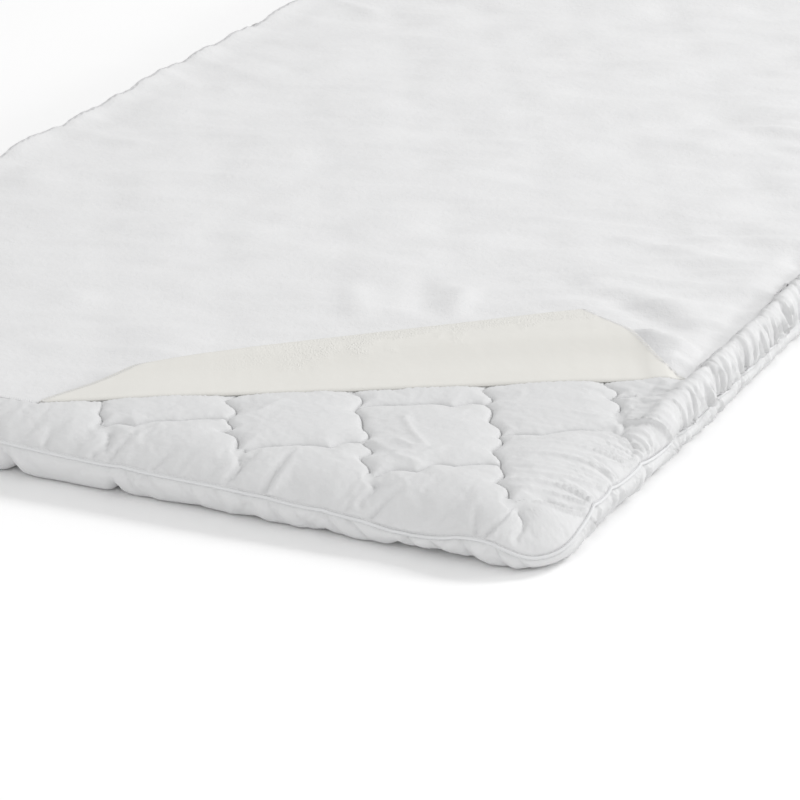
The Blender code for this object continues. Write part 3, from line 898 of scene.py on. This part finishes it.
def lay(flat, side):
    """Where points of the flat cloth lie, each that far to the coated side of the cloth's middle."""
    side = np.full(len(flat), float(side)) if np.isscalar(side) else side.copy()
    along, past = fold_place(flat)
    over = (along - tip_from[0]) * tip_beyond[0] + (past - tip_from[1]) * tip_beyond[1]
    over = np.where(past > 0, over, -1.0)
    across = (along - tip_from[0]) * tip_along[0] + (past - tip_from[1]) * tip_along[1]
    radius = np.interp(across, (0.0, np.linalg.norm(tip_to - tip_from)), tip_radii)
    turn = np.clip(over / radius, 0.0, math.pi)
    inside = radius + side
    bending, gone = (over > 0) & (turn < math.pi), over >= math.pi * radius
    reach = np.where(bending, inside * np.sin(turn), 0.0)
    reach = np.where(gone, math.pi * radius - over, reach)
    shift = np.where(over > 0, reach - over, 0.0)
    along, past = along + shift * tip_beyond[0], past + shift * tip_beyond[1]
    past = np.where(gone, np.maximum(past, tip_held + 0.03 * (past - tip_held)), past)
    share = np.clip(along / np.linalg.norm(fold_end - fold_start), 0.0, 1.0)
    reach, rise, slope = ((1 - share) * np.interp(past, steps, left) + share * np.interp(past, steps, right)
                          for left, right in zip(*fold_shapes))
    below = np.minimum(2 * radius, np.maximum(rise - tip_room, least_room))
    side = np.where(bending, inside * np.cos(turn) - radius, np.where(gone, -below - side, side))
    root = fold_start + along[:, None] * fold_along
    turned = past > 0
    plan = np.where(turned[:, None], root + (reach - side * np.sin(slope))[:, None] * fold_back, flat)
    height = lying_height(np.where(turned[:, None], root, flat))
    return np.column_stack([plan, np.where(turned, height + rise + side * np.cos(slope), height - side)])


sheet_low = np.array((sheet_left, -sheet_length / 2))
sheet_high = np.array((sheet_right, sheet_length / 2))


def rim_points(low, high, fine, coarse):
    """Round the flat cloth, anticlockwise, closer together near its turned-back corner."""
    corners = np.array(((low[0], low[1]), (high[0], low[1]), (high[0], high[1]), (low[0], high[1])))
    points = []
    for a, b in zip(corners, np.roll(corners, -1, axis=0)):
        at, length = 0.0, np.linalg.norm(b - a)
        while at < length - 0.3 * fine:
            spot = a + (b - a) * at / length
            points.append(spot)
            at += fine if -((spot - fold_start) @ fold_back) > -0.12 else coarse
    return np.array(points)


rim = rim_points(sheet_low, sheet_high, 0.003, 0.006)
grids = []
for pitch, low_limit, high_limit in ((0.003, -0.002, 9.0), (0.0036, -0.06, -0.002), (0.0071, -9.0, -0.06)):
    grid = honeycomb(sheet_low, sheet_high, pitch, 0.05)
    past = fold_place(grid)[1]
    grids.append(grid[(past > low_limit) & (past <= high_limit)])
for past in (0.0, 0.0007, 0.0014, 0.0021, 0.0028, 0.0036, 0.005, *np.arange(0.007, 0.07, 0.0022)):
    along = np.arange(-0.3, 0.9, 0.0045)
    grids.append(fold_start + along[:, None] * fold_along - past * fold_back)
    grids[0] = grids[0][np.abs(fold_place(grids[0])[1] - past) > 0.0011]
tip_line = []
for over in np.linspace(-0.002, math.pi * max(tip_radii) + 0.002, 16):
    places = tip_from + np.arange(-0.2, 0.6, 0.004)[:, None] * tip_along + over * tip_beyond
    flat_line = fold_start + places[:, :1] * fold_along - places[:, 1:] * fold_back
    tip_line.append(flat_line)
near_tip = (np.stack(fold_place(grids[0]), -1) - tip_from) @ tip_beyond
grids[0] = grids[0][(near_tip < -0.004) | (near_tip > math.pi * max(tip_radii) + 0.004)]
loose = np.concatenate(grids + tip_line)
margin = np.minimum(loose - sheet_low, sheet_high - loose).min(1)
loose = loose[margin > 0.0012]
plan = np.concatenate([rim, loose])
flat, _, triangles, *_ = delaunay_2d_cdt([tuple(p) for p in plan], [], [list(range(len(rim)))], 1, 4e-4)
flat, triangles = np.array([tuple(p) for p in flat]), np.array(triangles)
pair = np.concatenate([triangles[:, [0, 1]], triangles[:, [1, 2]], triangles[:, [2, 0]]])
unique_pair, how_many = np.unique(np.sort(pair, axis=1), axis=0, return_counts=True)
open_pairs = {tuple(p) for p in unique_pair[how_many == 1].tolist()}
hem = [edge for edge in pair.tolist() if tuple(sorted(edge)) in open_pairs]

# The laid part comes down on the puffs and gathers, bridges the hollows between them, and keeps folds of its
# own: from x, from y, to x, to y, width and height.
kept_folds = [(0.29, -0.5, 0.385, -0.535, 0.016, -0.0034), (0.24, -0.462, 0.385, -0.488, 0.02, 0.0034),
              (0.182, -0.604, 0.16, -0.52, 0.012, 0.0026), (0.15, -0.6, 0.105, -0.5, 0.014, -0.002),
              (0.105, -0.64, 0.06, -0.56, 0.014, 0.0022), (0.29, -0.37, 0.425, -0.33, 0.013, 0.0024),
              (0.3, -0.3, 0.43, -0.262, 0.012, 0.0022), (0.23, -0.33, 0.35, -0.345, 0.01, 0.0018),
              (0.21, 0.06, 0.43, 0.085, 0.012, 0.0026), (0.27, 0.02, 0.43, -0.012, 0.012, 0.0024)]
creased = np.random.default_rng(12)
for y in np.arange(-0.24, 0.92, 0.07):
    for edge_x in (sheet_right, sheet_left):
        from_y, run = y + creased.uniform(-0.03, 0.03), creased.uniform(0.05, 0.16)
        to_y = from_y - run * creased.uniform(-0.1, 0.6)
        kept_folds.append((edge_x, from_y, edge_x - math.copysign(run, edge_x), to_y,
                           creased.uniform(0.008, 0.014), creased.uniform(-0.0014, 0.0026)))
past = fold_place(flat)[1]
under_it = [cover_below(x, y) for x, y in flat.tolist()]
floor_below = np.array([0.0 if hit is None else hit.z for hit in under_it]) + cloth_gap + cloth_thick / 2
a, b = unique_pair[:, 0], unique_pair[:, 1]
squared = ((flat[a] - flat[b]) ** 2).sum(1)
neighbours = np.bincount(a, minlength=len(flat)) + np.bincount(b, minlength=len(flat))


def mean_beside(at_a, at_b):
    """The mean at each point of what each of its edges gives to its two ends."""
    return (np.bincount(a, at_a, len(flat)) + np.bincount(b, at_b, len(flat))) / neighbours


sag = 2.0  # how sharply the cloth hangs between what it lies on
droop = mean_beside(sag * squared, sag * squared)
lying = floor_below.copy()
for _ in range(500):
    lying = np.maximum(floor_below, mean_beside(lying[b], lying[a]) - droop)
evened = lying
for _ in range(60):
    evened = (evened + mean_beside(evened[b], evened[a])) / 2
from_edge = np.minimum(flat - sheet_low, sheet_high - flat).min(1)
lying += 0.65 * (evened - lying) * smooth((from_edge - 0.01) / 0.06)
edge_press, crease_press = 0.0034, 0.0026  # how far its right edge and its fold sink into the pad
beside = smooth((flat[:, 0] - sheet_right + 0.04) / 0.034)
lying += (floor_below - edge_press - lying) * beside
at_left = smooth((sheet_left + 0.06 - flat[:, 0]) / 0.05)
lying += (floor_below - lying) * at_left * smooth((np.abs(flat[:, 1]) - 0.78) / 0.1)
# One long fold runs from under the turned-back corner to the right edge, steep behind and gentle in front.
long_start, long_run, long_rise = (0.306, -0.558), np.array((0.146, -0.046)), 0.0105
off = (flat - long_start) @ left_of(long_run) / np.linalg.norm(long_run)
share = (flat - long_start) @ long_run / (long_run @ long_run)
steep, gentle = np.exp(-((off / 0.008) ** 2)), np.exp(-((np.abs(off) / 0.029) ** 1.3))
fading = smooth((share - 0.15) / 0.3) * (1 - 0.95 * smooth((flat[:, 0] - 0.4) / 0.027))
lying += long_rise * np.where(off > 0, steep, gentle) * fading
for x0, y0, x1, y1, width, rise in kept_folds:
    share, away = along_line(flat, (x0, y0), (x1, y1))
    lying += 1.4 * rise * np.exp(-((away / width) ** 2)) * smooth(0.3 + 3.0 * np.minimum(share, 1 - share))
# It also has the broad unevenness and the long shallow wrinkles of cloth that was folded up before.
swell = []
for x, y in flat.tolist():
    u, v = 0.905 * x + 0.425 * y, 0.905 * y - 0.425 * x
    broad = noise((u / 0.085, v / 0.055, 1.7)) * 0.004 + noise((u / 0.038, v / 0.022, 5.1)) * 0.0012
    ridged = 1 - abs(noise((u / 0.15, v / 0.034, 9.3))) * 2
    swell.append(broad + 0.0016 * max(0.0, ridged) ** 2)
lying += np.array(swell) * smooth(np.abs(past) / 0.05) * (0.8 + 0.7 * smooth((flat[:, 0] - 0.1) / 0.25))
flat_tree = tree_of(flat)


def lying_height(spots):
    """Height of the middle of the cloth over plan points where it lies on the pad."""
    total, shares = np.zeros(len(spots)), np.zeros(len(spots))
    for i, (x, y) in enumerate(spots.tolist()):
        for _, number, distance in flat_tree.find_n((x, y, 0.0), 3):
            share = 1 / (distance + 1e-5)
            total[i] += share * lying[number]
            shares[i] += share
    return total / shares


# The crease of the corner that is turned back is too stiff to follow each puff.
sampled = np.arange(-0.1, 0.68, 0.004)
creased_at = lying_height(fold_start + sampled[:, None] * fold_along)
window = np.exp(-((np.arange(-30, 31) * 0.004 / 0.055) ** 2))
evened = np.convolve(np.pad(creased_at, 30, mode="edge"), window / window.sum(), mode="valid")
flat_along = fold_place(flat)[0]
evening = np.interp(flat_along, sampled, evened - creased_at) * smooth((flat_along + 0.02) / 0.06)
lying += (evening - crease_press) * np.exp(-((past / 0.028) ** 2)) * (1 - beside)
points = np.concatenate([lay(flat, -cloth_thick / 2), lay(flat, cloth_thick / 2)])
faces = triangles.tolist() + (triangles[:, ::-1] + len(flat)).tolist()
faces += [[b, a, a + len(flat), b + len(flat)] for a, b in hem]
brushed = Finish("brushed_cloth", Roughness=0.95, Sheen_Weight=0.2, Sheen_Roughness=0.6)
nap = brushed.clouds(700.0, 4.0)
brushed.feed("Base Color", brushed.shade(brushed.clouds(14.0, 3.0) * 0.7 + nap * 0.3,
                                         (0.68, 0.68, 0.684), (0.78, 0.78, 0.783)))
brushed.feed("Roughness", nap * 0.1 + 0.88)
brushed.bump(nap * 0.7 + brushed.clouds(160.0, 2.0) * 1.5, 0.0004)
film = Finish("waterproof_film", Coat_Weight=0.0)
worn = film.node("Attribute", {"attribute_name": "worn"}, {}, "Fac")
creep = film.node("TexVoronoi", {"feature": "DISTANCE_TO_EDGE"}, {"Vector": film.place, "Scale": 330.0},
                  "Distance")
grain = film.clouds(620.0, 3.0)
film.feed("Base Color", film.shade(film.clouds(18.0, 3.0) * 0.6 + grain * 0.4 * worn,
                                   (0.735, 0.723, 0.684), (0.79, 0.78, 0.745)))
film.feed("Roughness", grain * worn * 0.3 + 0.42)
film.bump((grain + creep) * worn + film.clouds(60.0, 2.0) * 0.5, 0.0008)
protector = mesh_object("protector", points, faces, brushed)
protector.data.set_sharp_from_angle(angle=math.radians(50))
protector.data.materials.append(film.material)
film_faces = np.zeros(len(faces), np.int32)
film_faces[len(triangles):2 * len(triangles)] = 1
protector.data.polygons.foreach_set("material_index", film_faces)
fade = protector.data.attributes.new("worn", "FLOAT", "POINT")
flat_along, flat_past = fold_place(flat)
to_tip = (np.stack([flat_along, flat_past], -1) - tip_from) @ tip_beyond
ragged = np.array([noise((x / 0.024, y / 0.024, 4.4)) + 0.5 * noise((x / 0.009, y / 0.009, 2.2))
                   for x, y in flat.tolist()])
rubbed = smooth((to_tip + 0.034 + 0.022 * ragged) / 0.016) * smooth((flat_along - 0.1) / 0.2)
rubbed *= flat_past > 0
fade.data.foreach_set("value", np.concatenate([rubbed, rubbed]).astype(np.float32))
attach(protector, "root")
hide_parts("waterproof_sheet")

# The overlock stitching that binds its edge: white thread, looped over the raw edge from face to film.
edge = rim_points(sheet_low, sheet_high, 0.0022, 0.0022)
onward = unit(np.roll(edge, -1, axis=0) - edge)
inward = left_of(onward)
loops = []
for depth, shift, side in ((0.0034, 0.0, -1.0), (0.0016, 0.0006, -1.1), (-0.0002, 0.0011, -0.8),
                           (-0.0002, 0.0011, 0.8), (0.0016, 0.0006, 1.1), (0.0034, 0.0, 1.0)):
    spot = np.clip(edge + depth * inward + shift * onward, sheet_low - 0.0003, sheet_high + 0.0003)
    loops.append(lay(spot, side * (cloth_thick / 2 + 0.0001)))
overlock = threads("overlock_thread", np.stack(loops, axis=1), 0.0008, thread_white)
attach(overlock, "root")

# The filling gives way wherever the cloth presses on it.
cloth_tree = BVHTree.FromPolygons(points[len(flat):].tolist(), triangles.tolist())
for number, (x, y, z) in enumerate(settled.tolist()):
    hit = cloth_tree.ray_cast((x, y, -0.02), (0, 0, 1))[0]
    if hit is not None and z > hit.z - cloth_gap:
        settled[number, 2] = hit.z - cloth_gap
move_to(upper_cover, settled)
